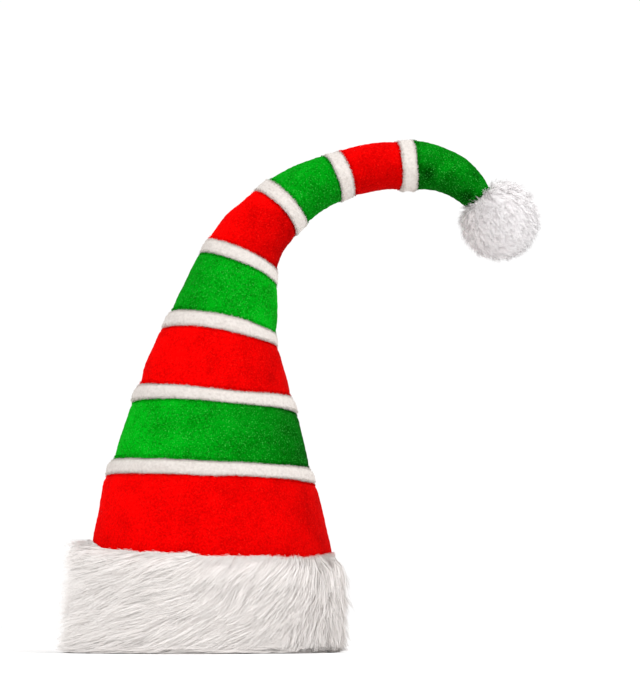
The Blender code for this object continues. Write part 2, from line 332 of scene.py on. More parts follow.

# Materials. A surface has its roughness, specular level and sheen, a noise its features to the
# metre, detail and roughness, and a bump its distance and strength. Stops say where on a ramp its
# two values are. A plush has its deep and pale colours, the colour of its painted glints where tufts
# catch the light, how far its painted shade, darker on the inner side of the curl and paler on the
# outer, changes them, and how much deeper crushed patches look where that painted shade falls. A fur
# has its colour at the roots, painted lighter on the trim to lift the shade between strands and a
# faint pink painted shade on the pompom, a colour of painted shade in random patches, its colour at
# the tips, and its sheen.
PLUSHES = {
    "red": ((0.47, 0.0, 0.0), (0.72, 0.0004, 0.0004), (0.86, 0.010, 0.006), 0.25, 0.10),
    "green": ((0.0, 0.120, 0.001), (0.0, 0.265, 0.005), (0.05, 0.46, 0.06), 0.68, 0.26),
}
# Root colours are painted: lighter on the trim to lift the shade between strands, a faint pink painted
# shade on the pompom; the second colour is painted shade in random patches
FURS = {
    "fur": ((0.95, 0.91, 0.885), (0.895, 0.855, 0.83), (0.93, 0.895, 0.87), 0.10),
    "pompom_fur": ((0.99, 0.95, 0.955), (0.995, 0.975, 0.98), (1.0, 1.0, 1.0), 0.30),
}
FLEECE = ((0.56, 0.515, 0.485), (0.665, 0.62, 0.585))
LINING = ((0.34, 0.002, 0.006), (0.58, 0.005, 0.012))
FLOOR = (0.965, 0.975)
TWILL = {"Scale": 260.0, "Distortion": 1.2, "Detail": 1.0}
WHITE = (1.0, 1.0, 1.0)
FLEECE_SHEEN = (1.0, 0.98, 0.95)
LINING_SHEEN = (1.0, 0.3, 0.3)
PLUSH_SURFACE = (0.9, 0.01, 0.03)
FLEECE_SURFACE = (0.95, 0.06, 0.15)
FUR_SURFACE = (0.60, 0.20)
LINING_SURFACE = (0.55, 0.30, 0.10)
FLOOR_SURFACE = (0.9, 0.10, 0.0)
EVEN_STOPS = (0.3, 0.7)
FLEECE_STOPS = (0.30, 0.60)
PLUSH_STOPS = (0.36, 0.58)
CRUSHED_STOPS = (0.44, 0.60)
PAINTED_GLINT_STOPS = (0.66, 0.76)
FUR_STOPS = (0.34, 0.54)
TIP_STOPS = (0.15, 0.95)
PATCH_SHARE = 0.38  # how much of the plush's tone is patches, and the rest grain
PAINTED_GLINT_SHARE = 0.6
FUR_ROUGHNESS = (0.66, 0.54)
TWILL_SHARE = 0.4
PLUSH_BUMP = (0.0008, 0.7)
FLEECE_BUMP = (0.0010, 0.8)
LINING_BUMP = (0.0003, 0.6)
PLUSH_PATCHES = (48, 3.0, 0.6)
PLUSH_GRAIN = (560, 2.0, 0.65)
PLUSH_CRUSHING = (75, 2.0, 0.6)
PLUSH_GLINT_NOISE = (1100, 0.0)
FLEECE_CURLS = (420, 3.0, 0.65)
FUR_PATCHES = (95, 2.0, 0.6)
LINING_SHADE = (30, 2.0)
FLOOR_SHADE = (3, 1.0)
SHEEN_ROUGHNESS = 0.45

# The camera, and the point of the hat's middle plane that it looks at
CAMERA_AT = (-0.333, -1.985, 0.030)
LOOK_AT = (0.0141, 0.0, 0.2684)
LENS = 116.4  # for a sensor 36 mm along the picture's longer side
FLOOR_RADIUS = 6.0
FLOOR_SIDES = 64
WORLD_LIGHT = 1.03
LIGHTS = {  # where each is, its size and its power
    "key": ((-1.5, -1.6, 0.8), 0.9, 7.0),
    "fill": ((1.3, -1.6, 2.0), 1.2, 27.0),
    "top": ((0.32, -0.28, 1.05), 0.5, 0.8),
}

Section = namedtuple("Section", "centre lean half_width half_depth")


def rim_centre():
    """The middle of the rim on the floor, in the frame."""
    low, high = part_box("white_band_1")
    mount = frame["record"]["mounts"][0]["pos_m"]
    return np.array((mount[0], (low[1] + high[1]) / 2, mount[2]))


def across(lean):
    """Directions across the hat towards +X, for an array of leans."""
    return np.stack([np.cos(lean), np.zeros_like(lean), -np.sin(lean)], axis=-1)


def onward(lean):
    """Directions along the hat towards its tip."""
    return np.stack([np.sin(lean), np.zeros_like(lean), np.cos(lean)], axis=-1)


def step_along(below, stretch, along):
    """How far the middle line has come and turned at those shares of a stretch."""
    along = np.asarray(along, float)
    bend = math.radians(stretch.bend_deg)
    radius = stretch.length / bend
    lean = below.lean + bend * along
    step = np.stack([
        radius * (math.cos(below.lean) - np.cos(lean)),
        np.zeros_like(lean),
        radius * (np.sin(lean) - math.sin(below.lean)),
    ], axis=-1)
    return step + across(lean) * (stretch.shift * RIM_WIDTH * along)[..., None], lean


def seams():
    """The sections where the stretches meet, from the rim to the tip."""
    found = [Section(rim_centre(), 0.0, RIM_WIDTH / 2, RIM_DEPTH / 2)]
    for stretch in STRETCHES:
        below = found[-1]
        step, lean = step_along(below, stretch, 1.0)
        found.append(Section(
            below.centre + step,
            float(lean),
            stretch.width * RIM_WIDTH / 2,
            stretch.depth * RIM_DEPTH / 2,
        ))
    return found


SEAMS = seams()


def sections(name, along, closing=None, puff=0.0):
    """Sections of a stretch at an array of shares of its length, puffed out by that much."""
    index = INDEX[name]
    below, above = SEAMS[index], SEAMS[index + 1]
    along = np.asarray(along, float)
    closing = along if closing is None else closing
    step, lean = step_along(below, STRETCHES[index], along)
    return Section(
        below.centre + step,
        lean,
        below.half_width + (above.half_width - below.half_width) * closing + puff,
        below.half_depth + (above.half_depth - below.half_depth) * closing + puff,
    )


def surface(section, angle, outward=0.0):
    """Points on sections at those angles round them, that far outside, and the way out there."""
    cosine, sine = np.cos(angle), np.sin(angle)
    out_x = cosine * section.half_depth
    out_y = sine * section.half_width
    size = np.hypot(out_x, out_y)
    side = across(section.lean)
    way = side * (out_x / size)[..., None] + BACK * (out_y / size)[..., None]
    point = (
        section.centre
        + side * (section.half_width * cosine)[..., None]
        + BACK * (section.half_depth * sine)[..., None]
        + way * np.asarray(outward)[..., None]
    )
    return point, way


def full_turn(count):
    """Angles once round the hat."""
    return np.linspace(0, TURN, count, endpoint=False)


def circle(angle):
    """Points round a circle of radius 1."""
    return np.stack([np.cos(angle), np.sin(angle), 0 * angle], axis=-1)


def laid_out(section, angle):
    """A grid of sections by angles, the angle at each of its points, and the points."""
    grid = Section(
        section.centre[:, None, :],
        section.lean[:, None] + 0 * angle,
        section.half_width[:, None] + 0 * angle,
        section.half_depth[:, None] + 0 * angle,
    )
    turns = angle[None, :] + 0 * section.lean[:, None]
    return grid, turns, surface(grid, turns)[0]


def ripple(points, wavelength, seed, waves=WAVES):
    """Smooth noise with about that wavelength and a spread of 1, from waves in all directions."""
    chance = default_rng(seed)
    way = chance.normal(size=(waves, 3))
    way /= np.linalg.norm(way, axis=1)[:, None]
    way *= TURN / (wavelength * chance.uniform(*WAVE_SPREAD, waves)[:, None])
    phase = chance.uniform(0, TURN, waves)
    total = sum(np.cos(points @ direction + start) for direction, start in zip(way, phase))
    return total * math.sqrt(2 / waves)


def layered(points, *layers):
    """The sum of layers of noise, each with its size, wavelength and seed."""
    return sum(size * ripple(points, *layer) for size, *layer in layers)


def fade(value, low, high):
    """A smooth step from 0 at low to 1 at high."""
    share = np.clip((value - low) / (high - low), 0.0, 1.0)
    return share * share * (3 - 2 * share)


def unit(vectors):
    """The vectors at length 1."""
    return vectors / np.maximum(np.linalg.norm(vectors, axis=-1), LEAST_LENGTH)[..., None]


def placed(name, data):
    """A new object in the scene."""
    made = bpy.data.objects.new(name, data)
    bpy.context.scene.collection.objects.link(made)
    return made


def link(name, mesh, material, replaced):
    """An object from a mesh that rides on the hat, in place of a solid."""
    made = placed(name, mesh)
    mesh.materials.append(material)
    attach(made, "root")
    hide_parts(replaced)
    return made


# Points, the corners of all faces in turn, and how many corners each face has
Faces = namedtuple("Faces", "points corners counts")


def joined(*parts):
    """Several sets of faces as one."""
    starts = np.cumsum([0] + [len(part.points) for part in parts])
    return Faces(
        np.concatenate([part.points for part in parts]),
        np.concatenate([part.corners + start for part, start in zip(parts, starts)]),
        np.concatenate([part.counts for part in parts]),
    )


def mesh_of(name, faces):
    """A smooth-shaded mesh from faces."""
    mesh = bpy.data.meshes.new(name)
    mesh.vertices.add(len(faces.points))
    mesh.vertices.foreach_set("co", faces.points.astype(np.float32).ravel())
    mesh.loops.add(len(faces.corners))
    mesh.loops.foreach_set("vertex_index", faces.corners.astype(np.int32))
    mesh.polygons.add(len(faces.counts))
    starts = np.concatenate([[0], np.cumsum(faces.counts)[:-1]])
    mesh.polygons.foreach_set("loop_start", starts.astype(np.int32))
    mesh.polygons.foreach_set("use_smooth", np.ones(len(faces.counts), bool))
    mesh.update(calc_edges=True)
    mesh.validate()
    return mesh


def add_values(mesh, name, values):
    """A number at each point of a mesh, for its material to read."""
    kept = mesh.attributes.new(name, "FLOAT", "POINT")
    kept.data.foreach_set("value", np.asarray(values, np.float32))


def brushed(name, way, lean):
    """Painted shade on the pile: from -1, painted paler, on the outer side of the curl to 1, painted
    darker, on the inner, and darker where the hat has turned over.
    """
    side = (way * across(lean)).sum(axis=-1)
    turned = fade(lean, *TURNED_LEAN)
    deeper, share = PAINTED_SHADE_BY_STRIPE.get(name, AS_OTHERS)
    return deeper + share * (side * (1 - TURNED_EVENING * turned) + TURNED_PAINTED_SHADE * turned)


def skin(rows, closed=False):
    """Faces over rows of points, each row a loop anticlockwise seen from the last row.

    Closed rows meet from last to first, and others are capped at both ends.
    """
    levels, sides = rows.shape[:2]
    index = np.arange(levels * sides).reshape(levels, sides)
    if closed:
        index = np.concatenate([index, index[:1]])
    after = np.roll(index, -1, axis=1)
    quads = np.stack([index[:-1], after[:-1], after[1:], index[1:]], axis=-1).reshape(-1, 4)
    points = rows.reshape(-1, 3)
    if closed:
        return Faces(points, quads.ravel(), np.full(len(quads), 4))
    first, last = levels * sides, levels * sides + 1
    ends = np.concatenate([
        np.stack([after[0], index[0], np.full(sides, first)], axis=-1),
        np.stack([index[-1], after[-1], np.full(sides, last)], axis=-1),
    ])
    points = np.concatenate([points, rows[0].mean(axis=0)[None], rows[-1].mean(axis=0)[None]])
    corners = np.concatenate([quads.ravel(), ends.ravel()])
    return Faces(points, corners, np.repeat((4, 3), (len(quads), len(ends))))


def sides_for(name, cell):
    """How many faces of that size go round a stretch at its widest."""
    below = SEAMS[INDEX[name]]
    round_it = math.pi * (below.half_width + below.half_depth)
    return 2 * round(round_it / cell / 2)


def rise_at(rise, angle):
    """A rise at each angle round the hat."""
    outer, front, inner = rise
    level = np.cos(angle)
    return front * np.sin(angle) ** 2 + np.where(level > 0, inner, outer) * level**2


def strayed(points, lean, index, away, angle):
    """Rows of points moved along the hat as a seam strays, and less so further away from it."""
    seam = SEAMS[index]
    ring = Section(*(np.broadcast_to(value, angle.shape + np.shape(value)) for value in seam))
    wander = layered(surface(ring, angle)[0], (*SEAM_WANDER, SEAM_SEED + index))
    stray = rise_at(STRETCHES[index - 1].rise, angle) + wander
    return points + onward(lean) * (stray * np.exp(-away / WANDER_REACH)[:, None])[..., None]


def end_rows(length, lower_round, upper_round, cell):
    """Distances along a stripe for its rows, and how far in each lies where its ends turn in."""
    turn = np.linspace(0.0, math.pi / 2, ROUND_ROWS)
    count = max(2, round((length - GAP - lower_round - upper_round) / cell))
    lower = GAP / 2 + lower_round * (1 - np.cos(turn))
    upper = length - GAP / 2 - upper_round * (1 - np.cos(turn[::-1]))
    middle = np.linspace(lower[-1], upper[0], count + 1)[1:-1]
    distance = np.concatenate([lower[:1], lower, middle, upper, upper[-1:]])
    inset = np.concatenate([
        [lower_round + END_DEPTH],
        lower_round * (1 - np.sin(turn)),
        np.zeros(len(middle)),
        upper_round * (1 - np.sin(turn[::-1])),
        [upper_round + END_DEPTH],
    ])
    return distance, inset


def turned_in(inset, angle, in_front, at_sides):
    """How far in rows of points lie where rounded ends turn in, at each angle round the hat."""
    return inset[:, None] * (in_front + at_sides * np.cos(angle) ** 2)


def upper_round(name):
    """How far a stripe's upper edge is rounded, which is less on a slim one."""
    return min(PANEL_UPPER_ROUND, ROUND_LIMIT * SEAMS[INDEX[name] + 1].half_width)


def shaped(name, grid, turns, relief, distance):
    """A stripe's points from its relief, moved as its two seams stray, and the way out there."""
    index = INDEX[name]
    points, way = surface(grid, turns, relief)
    points = strayed(points, grid.lean, index, distance, turns[0])
    away = STRETCHES[index].length - distance
    return strayed(points, grid.lean, index + 1, away, turns[0]), way


def grid_normals(rows):
    """The way out of a grid of points at each of them."""
    round_it = np.roll(rows, -1, axis=1) - np.roll(rows, 1, axis=1)
    return unit(np.cross(round_it, np.gradient(rows, axis=0)))


def on_grid(rows, level, column):
    """Points between those of a grid, at fractional rows and columns."""
    sides = rows.shape[1]
    low = np.clip(level.astype(int), 0, rows.shape[0] - 2)
    left = column.astype(int) % sides
    right = (left + 1) % sides
    v = (level - low)[:, None]
    u = (column - np.floor(column))[:, None]
    return ((rows[low, left] * (1 - u) + rows[low, right] * u) * (1 - v)
            + (rows[low + 1, left] * (1 - u) + rows[low + 1, right] * u) * v)


def tufts_at(rows, distance, places, toward, tuft, chance):
    """Short tufts, a triangle each, at places along a stripe, and the columns that they grow in."""
    count = len(places)
    level = np.interp(places, distance, np.arange(len(distance)))
    column = chance.uniform(0, rows.shape[1], count)
    root = on_grid(rows, level, column)
    out = unit(on_grid(grid_normals(rows), level, column))
    way = unit(out + toward + TUFT_LEAN * chance.normal(size=(count, 3)))
    side = unit(np.cross(way, chance.normal(size=(count, 3)))) * (tuft.width / 2)
    tip = root + way * (tuft.length * chance.uniform(LEAST_TUFT, 1.0, count))[:, None]
    root = root - out * TUFT_ROOT
    points = np.stack([root - side, root + side, tip], axis=1).reshape(-1, 3)
    faces = Faces(points, np.arange(3 * count), np.full(count, 3))
    return faces, column.astype(int) % rows.shape[1]


def nap(rows, distance, length, area, chance):
    """Loose tufts over a band."""
    places = chance.uniform(NAP_MARGIN, length - NAP_MARGIN, round(NAP.count * area))
    return tufts_at(rows, distance, places, 0.0, NAP, chance)[0]


def seam_pile(rows, distance, lean, at_end, tuft, chance):
    """Tufts of a stripe's pile that lean over the seam at one of its ends, and their columns."""
    round_it = np.linalg.norm(np.diff(rows[len(rows) // 2], axis=0), axis=1).sum()
    away = chance.uniform(0, PILE_REACH, round(tuft.count * round_it))
    if at_end:
        return tufts_at(rows, distance, distance[-1] - away, onward(lean[-1]), tuft, chance)
    return tufts_at(rows, distance, distance[0] + away, -onward(lean[0]), tuft, chance)


def panel_relief(points, angle, distance, length, half_width, seed):
    """How far a stuffed stripe stands out at each point: slack padding, gathers, pile and seam."""
    from_seam = np.minimum(distance, length - distance)[:, None]
    slack = layered(points, (*PANEL_SLACK, seed), (*FINE_SLACK, seed + 1))
    relief = fade(from_seam, 0.0, SLACK_REACH) * slack
    for row, away in ((0, distance), (-1, length - distance)):
        gathers = np.abs(layered(points[row], (*PUCKER, seed + 2 - row)))
        relief -= gathers[None, :] * np.exp(-away / PUCKER_REACH)[:, None]
    relief += layered(points, (*PANEL_GRAIN, seed + 5, FINE_WAVES))
    from_back = (angle - math.pi / 2)[None, :] * half_width[:, None]
    return relief - BACK_SEAM_DEPTH * np.exp(-(from_back / BACK_SEAM_WIDTH) ** 2)


def bumps(places, angle, distance, length, half_width):
    """The sum of soft bumps at a table's places on a stripe."""
    total = np.zeros((len(distance), len(angle)))
    for angle_deg, along, size, reach in places:
        turned = (angle - math.radians(angle_deg) + math.pi) % TURN - math.pi
        round_it = turned[None, :] * half_width[:, None]
        up_it = (distance - along * length)[:, None]
        total += size * np.exp(-(round_it**2 + up_it**2) / reach**2)
    return total


def panel_sections(name, along):
    """Sections of a stuffed stripe at shares of its length."""
    soon, late = PUFF_POWERS
    closing = (1 - LATE_CLOSING) * along + LATE_CLOSING * along**LATE_POWER
    puff = PANEL_PUFF * (1 - (1 - along) ** soon) * (1 - along**late)
    return sections(name, along, closing, puff)


def link_plush(name, faces, painted_shades_and_crushes, material):
    """A plush stripe from its faces, and its painted shade and crushed patches at each of their points.
    """
    mesh = mesh_of(name, faces)
    add_values(mesh, "brushed", np.concatenate(painted_shades_and_crushes))
    link(name + "_plush", mesh, material, name)


def make_panel(name, material, seed):
    """One stuffed plush stripe above the head hollow."""
    length = STRETCHES[INDEX[name]].length
    distance, inset = end_rows(length, PANEL_LOWER_ROUND, upper_round(name), PANEL_CELL)
    angle = full_turn(sides_for(name, PANEL_CELL))
    middle = panel_sections(name, distance / length)
    at_places = (angle, distance, length, middle.half_width)
    grid, turns, base = laid_out(middle, angle)
    relief = panel_relief(base, *at_places, seed) + bumps(DENTS.get(name, ()), *at_places)
    relief -= turned_in(inset, angle, *PANEL_TURN_IN)
    points, way = shaped(name, grid, turns, relief, distance)
    # Painted shade on the pile, darker on the inner side of the curl, with its crushed patches
    depth = brushed(name, way, grid.lean) + bumps(CRUSHES.get(name, ()), *at_places)
    chance = default_rng(seed)
    shown, at = points[1:-1], distance[1:-1]
    parts, painted_shades_and_crushes = [skin(points)], [depth.ravel(), [0.0, 0.0]]
    for at_end in (False, True):
        tufts, column = seam_pile(shown, at, middle.lean, at_end, PILE, chance)
        parts.append(tufts)
        painted_shades_and_crushes.append(np.repeat(depth[-1 if at_end else 0, column], 3))
    link_plush(name, joined(*parts), painted_shades_and_crushes, material)


def crown_sections(height):
    """Outer sections of the lowest stripe at an array of distances up from the rim."""
    height = np.asarray(height, float)
    low = sections("behind_fur", height / TRIM_HEIGHT)
    high = sections("red_panel_1", (height - TRIM_HEIGHT) / CROWN_SHOWING)
    below = height <= TRIM_HEIGHT
    return Section(*(
        np.where(below[..., None] if a.ndim > below.ndim else below, a, b)
        for a, b in zip(low, high)
    ))


def grown(section, outward):
    """The sections made larger all round, or smaller where the distance is negative."""
    return section._replace(
        half_width=section.half_width + outward,
        half_depth=section.half_depth + outward,
    )


def stacked(*parts):
    """Several arrays of sections as one."""
    return Section(*(np.concatenate(values) for values in zip(*parts)))


def hollow_sections(outward):
    """Sections of the head hollow from its top down to the hem, grown by that much all round."""
    inset = outward - PLUSH_WALL - GAP - LINING_WALL
    spring = grown(crown_sections(HOLLOW_WALL), inset)
    rise = HOLLOW_DEPTH - HOLLOW_WALL + outward
    angle = np.radians(np.linspace(90 - HOLLOW_CAP_DEG, 0, HOLLOW_ROWS))
    dome = crown_sections(HOLLOW_WALL + rise * np.sin(angle))._replace(
        half_width=spring.half_width * np.cos(angle),
        half_depth=spring.half_depth * np.cos(angle),
    )
    heights = np.linspace(HOLLOW_WALL, HEM_HEIGHT + GAP, HOLLOW_ROWS)[1:]
    return stacked(dome, grown(crown_sections(heights), inset))


def make_crown(material, seed):
    """The lowest red stripe: padded plush from the hem to the first band, over the head hollow."""
    name = "red_panel_1"
    distance, inset = end_rows(CROWN_SHOWING, FIRST_SHOWN, upper_round(name), PANEL_CELL)
    showing = distance >= FIRST_SHOWN
    distance, inset = distance[showing], np.where(distance < CROWN_SHOWING / 2, 0, inset)[showing]
    covered = np.arange(HEM_HEIGHT + GAP, TRIM_HEIGHT, HIDDEN_CELL)
    upper = slice(len(covered), None)
    outer = stacked(
        sections("behind_fur", covered / TRIM_HEIGHT),
        panel_sections(name, distance / CROWN_SHOWING),
    )
    angle = full_turn(sides_for("behind_fur", PANEL_CELL))
    at_places = (angle, distance, CROWN_SHOWING, outer.half_width[upper])
    from_fur = (angle, distance + FUR_LINE_REACH, CROWN_SHOWING + FUR_LINE_REACH, at_places[-1])
    grid, turns, base = laid_out(outer, angle)
    relief = np.zeros(turns.shape)
    relief[upper] = panel_relief(base[upper], *from_fur, seed) + bumps(DENTS[name], *at_places)
    relief[upper] -= turned_in(inset, angle, *PANEL_TURN_IN)
    points, way = surface(grid, turns, relief)
    away = CROWN_SHOWING - np.concatenate([covered - TRIM_HEIGHT, distance])
    points = strayed(points, grid.lean, INDEX[name] + 1, away, angle)
    # Painted shade on the pile, darker on the inner side of the curl
    depth = brushed(name, way, grid.lean)
    depth[upper] += bumps(CRUSHES[name], *at_places)
    inside = laid_out(hollow_sections(LINING_WALL + GAP), angle)[2]
    tufts, column = seam_pile(
        points[upper][:-1], distance[:-1], outer.lean, True, PILE, default_rng(seed))
    painted_shades_and_crushes = [np.zeros(inside[..., 0].size), depth.ravel(), [0.0, 0.0], np.repeat(depth[-1, column], 3)]
    faces = joined(skin(np.concatenate([inside, points])), tufts)
    link_plush(name, faces, painted_shades_and_crushes, material)


def make_band(name, material, seed):
    """One puffed fleece band, which turns in over the narrower stripe above it."""
    chance = default_rng(seed)
    length = STRETCHES[INDEX[name]].length
    narrowing = SEAMS[INDEX[name]].half_width - SEAMS[INDEX[name] + 1].half_width
    turn_in = max(LEAST_BAND_ROUND, BAND_UPPER_ROUND * narrowing)
    distance, inset = end_rows(length, BAND_LOWER_ROUND, turn_in, BAND_CELL)
    along = distance / length
    angle = full_turn(sides_for(name, BAND_CELL))
    puff = BAND_PUFF + SLIM_BAND_PUFF * (1 - fade(narrowing, 0.0, SLIM_NARROWING))
    bulge = puff * np.sqrt(np.maximum(0.0, 1 - (2 * along - 1) ** BULGE_POWER))
    middle = sections(name, along, along**BAND_CLOSING, bulge)
    grid, turns, base = laid_out(middle, angle)
    relief = layered(base, (*BAND_SLACK, seed), (*BAND_GRAIN, seed + 1, FINE_WAVES))
    relief -= turned_in(inset, angle, *BAND_TURN_IN)
    points, _ = shaped(name, grid, turns, relief, distance)
    area = length * math.pi * (grid.half_width[0, 0] + grid.half_depth[0, 0])
    shown, at = points[1:-1], distance[1:-1]
    parts = [skin(points), nap(shown, at, length, area, chance)]
    for at_end in (False, True):
        parts.append(seam_pile(shown, at, middle.lean, at_end, BAND_EDGE, chance)[0])
    mesh = mesh_of(name, joined(*parts))
    link(name + "_fleece", mesh, material, name)


def ribbons(paths, outward, width, twist):
    """Flat strands along paths of four points, each with three faces that narrow to a tip."""
    way = unit(np.gradient(paths, axis=1))
    side = unit(np.cross(way, outward[:, None, :]))
    lift = np.cross(way, side)
    twist = twist[:, None, None]
    side = side * np.cos(twist) + lift * np.sin(twist)
    half = width[:, None, None] / 2 * HAIR_TAPER[:, None]
    left, right = (paths - side * half)[:, :3], (paths + side * half)[:, :3]
    pairs = np.stack([left, right], axis=2).reshape(len(paths), 6, 3)
    points = np.concatenate([pairs, paths[:, 3:]], axis=1).reshape(-1, 3)
    corners = (np.arange(len(paths))[:, None] * HAIR_POINTS + HAIR_CORNERS).ravel()
    return Faces(points, corners, np.tile(HAIR_FACES, len(paths)))


def link_fur(name, paths, outward, hair, chance, material, replaced, middle=None, blend=NORMAL_BLEND):
    """A piece of fur from its strands, each shaded partly as the fur around it.

    The fur faces outward at each strand, or away from its middle where one is given.
    """
    count = len(paths)
    width = hair.width * chance.uniform(*hair.widths, count)
    twist = np.radians(chance.uniform(-hair.twist_deg, hair.twist_deg, count))
    faces = ribbons(paths, outward, width, twist)
    mesh = mesh_of(name, faces)
    own = np.empty(len(faces.points) * 3, np.float32)
    mesh.vertex_normals.foreach_get("vector", own)
    if middle is None:
        around = np.repeat(outward, HAIR_POINTS, axis=0)
    else:
        around = unit(faces.points - middle)
    normals = unit(own.reshape(-1, 3) * (1 - blend) + around * blend)
    mesh.normals_split_custom_set_from_vertices(normals)
    tone = default_rng(count).uniform(-TONE_SPREAD, 0.0, count)
    shares = np.repeat(HAIR_SHARES, (2, 2, 2, 1))
    add_values(mesh, "along", np.tile(shares, count) + np.repeat(tone, HAIR_POINTS))
    link(name, mesh, material, replaced)


def nearest_lock(angle, height):
    """The middle of the lock that each strand of the trim belongs to."""
    columns = round(TURN * MEAN_RADIUS / TRIM_CLUMP)
    levels = round(TRIM_HEIGHT / TRIM_CLUMP)
    chance = default_rng(LOCK_SEED)
    jitter = chance.uniform(-LOCK_JITTER, LOCK_JITTER, size=(2, levels, columns))
    lock_u = np.arange(columns)[None, :] + 0.5 + jitter[0]
    lock_v = np.arange(levels)[:, None] + 0.5 + jitter[1]
    u = angle / TURN * columns
    v = height / TRIM_HEIGHT * levels
    best = np.full(len(u), np.inf)
    found = np.zeros((2, len(u)))
    for up_it, round_it in product((-1, 0, 1), repeat=2):
        level = np.clip(v.astype(int) + up_it, 0, levels - 1)
        column = (u.astype(int) + round_it) % columns
        du = (lock_u[level, column] - u + columns / 2) % columns - columns / 2
        dv = lock_v[level, column] - v
        nearer = du**2 + dv**2 < best
        best = np.where(nearer, du**2 + dv**2, best)
        found = np.where(nearer, (u + du, v + dv), found)
    return found[0] / columns * TURN, found[1] / levels * TRIM_HEIGHT


def over_rim(angle, height, out=0.0):
    """Points over the plush at the rim, at that height up it and that far out from it."""
    return surface(sections("behind_fur", height / TRIM_HEIGHT), angle, out)


def fur_line(angle):
    """How high the fur's upper edge is at each angle round the hat."""
    from_end = np.abs(angle % TURN - math.pi)
    tuft = TUFT_HEIGHT * np.exp(-(from_end / TUFT_ANGLE) ** 2)
    uneven = layered(circle(angle) * MEAN_RADIUS, *LINE_NOISE)
    return TRIM_HEIGHT + rise_at(FUR_LINE, angle) + tuft + uneven


def trim_fall(angle, height):
    """How steeply the trim's fur lies: nearly level on the left, steep on the right, in swirls."""
    swirl = layered(over_rim(angle, height)[0], *SWIRLS)
    fall = FALL_DEG + INNER_FALL_DEG * np.cos(angle) + swirl
    return np.radians(np.maximum(fall, LEAST_FALL_DEG))


def rim_bend(angle):
    """The radius that the rim curves with at each angle round it."""
    wide, deep = RIM_WIDTH / 2, RIM_DEPTH / 2
    return ((wide * np.sin(angle)) ** 2 + (deep * np.cos(angle)) ** 2) ** 1.5 / (wide * deep)


def trim_loft(angle, height, points, chance):
    """How far each strand of the trim stands out, from its place and from chance."""
    inner = 0.5 + 0.5 * np.cos(angle)
    loft = (TRIM_LOFT + INNER_LOFT * np.cos(angle)) * (1 + layered(points, *LOCK_NOISE))
    count = len(angle)
    loose = chance.random(count) < FLYAWAY
    loft *= np.where(loose, chance.uniform(*FLYAWAY_LOFTS, count), chance.uniform(*LOFTS, count))
    at_hem = HEM_LOFT - HEM_CLOSING * inner
    loft *= at_hem + (1 - at_hem) * fade(height, 0.0, HEM_REACH * (1 + inner))
    loft *= 1 - SHOULDER * inner * (1 - fade(fur_line(angle) - height, 0.0, SHOULDER_REACH))
    return loft * (1 + UPPER_LOFT * (1 - inner) * height / TRIM_HEIGHT)


def trim_flare(angle, points, chance):
    """How far each strand stands off for its length squared, where the rim curves away from it."""
    uneven = ripple(points, *FLARE_NOISE) + FLARE_SPREAD * chance.normal(size=len(angle))
    outer = 1 + OUTER_FLARE * (0.5 - 0.5 * np.cos(angle))
    return FLARE * fade(uneven, *FLARE_FADE) * outer / (2 * rim_bend(angle))


def off_floor(up_it, points):
    """Heights of strands where the floor eases them up."""
    lift = FLOOR_LIFT * (1 + ripple(points, *LIFT_NOISE))[:, None] * HAIR_SHARES
    lift = FUR_FLOOR + np.maximum(lift, 0.0)
    return lift + FLOOR_EASE * np.logaddexp(0.0, (up_it - lift) / FLOOR_EASE)


def trim_paths(count, chance):
    """Strands of the trim as paths of four points, and the way out at each root."""
    angle = chance.uniform(0, TURN, count)
    height = chance.uniform(LOWEST_ROOT, 1.0, count)
    at_edge = chance.random(count) < EDGE_SHARE
    height = np.where(at_edge, 1 - EDGE_NEAR * height, height) * fur_line(angle)
    lock_angle, lock_height = nearest_lock(angle, height)
    along = (TRIM_HAIR * chance.uniform(*TRIM_HAIRS, count))[:, None] * HAIR_SHARES
    ends = []
    for turn, up_it, loose in ((angle, height, LOOSE_DEG), (lock_angle, lock_height, 0)):
        fall = trim_fall(turn, up_it) + np.radians(loose) * chance.normal(size=count)
        ends.append((
            turn[:, None] - along * np.cos(fall)[:, None] / MEAN_RADIUS,
            up_it[:, None] - along * np.sin(fall)[:, None],
        ))
    pull = TRIM_GATHER * chance.uniform(*GATHERS, count)[:, None] * HAIR_SHARES**GATHER_POWER
    turn, up_it = (own * (1 - pull) + locked * pull for own, locked in zip(*ends))
    points, _ = over_rim(lock_angle, lock_height)
    loft = trim_loft(angle, height, points, chance)
    rising = RISING + SOONER_RISING * (1 - fade(fur_line(angle) - height, 0.0, SOONER_REACH))
    out = FUR_ROOT + loft[:, None] * (1 - (1 - HAIR_SHARES) ** rising[:, None])
    flare = trim_flare(angle, points, chance)
    out += flare[:, None] * (along * np.cos(fall)[:, None]) ** 2
    up_it = np.minimum(up_it, fur_line(turn) + OVER_LINE * chance.random(count)[:, None])
    eased = off_floor(up_it, points)
    out += SPREAD_ON_FLOOR * (eased - up_it) * HAIR_SHARES
    paths, way = over_rim(turn, eased, out)
    return paths, way[:, 1]


def make_edge_fur(material):
    """Short loose hair that stands up over the fur line, on the red plush."""
    chance = default_rng(EDGE_SEED)
    angle = chance.uniform(0, TURN, EDGE_STRANDS)
    height = fur_line(angle) - chance.uniform(0, EDGE_ROOTS, EDGE_STRANDS)
    rise = np.radians(chance.uniform(*EDGE_RISE_DEG, EDGE_STRANDS))[:, None]
    along = (EDGE_HAIR * chance.uniform(*EDGE_HAIRS, EDGE_STRANDS))[:, None] * HAIR_SHARES
    turn = angle[:, None] - along * np.cos(rise) / MEAN_RADIUS
    up_it = height[:, None] + along * np.sin(rise) * (1 - EDGE_DROOP * HAIR_SHARES)
    out = FUR_ROOT + EDGE_LOFT * HAIR_SHARES * chance.uniform(*EDGE_LOFTS, EDGE_STRANDS)[:, None]
    paths, way = over_rim(turn, up_it, out)
    link_fur("fur_trim_edge", paths, way[:, 1], EDGE_LOOKS, chance, material, "fur_trim")


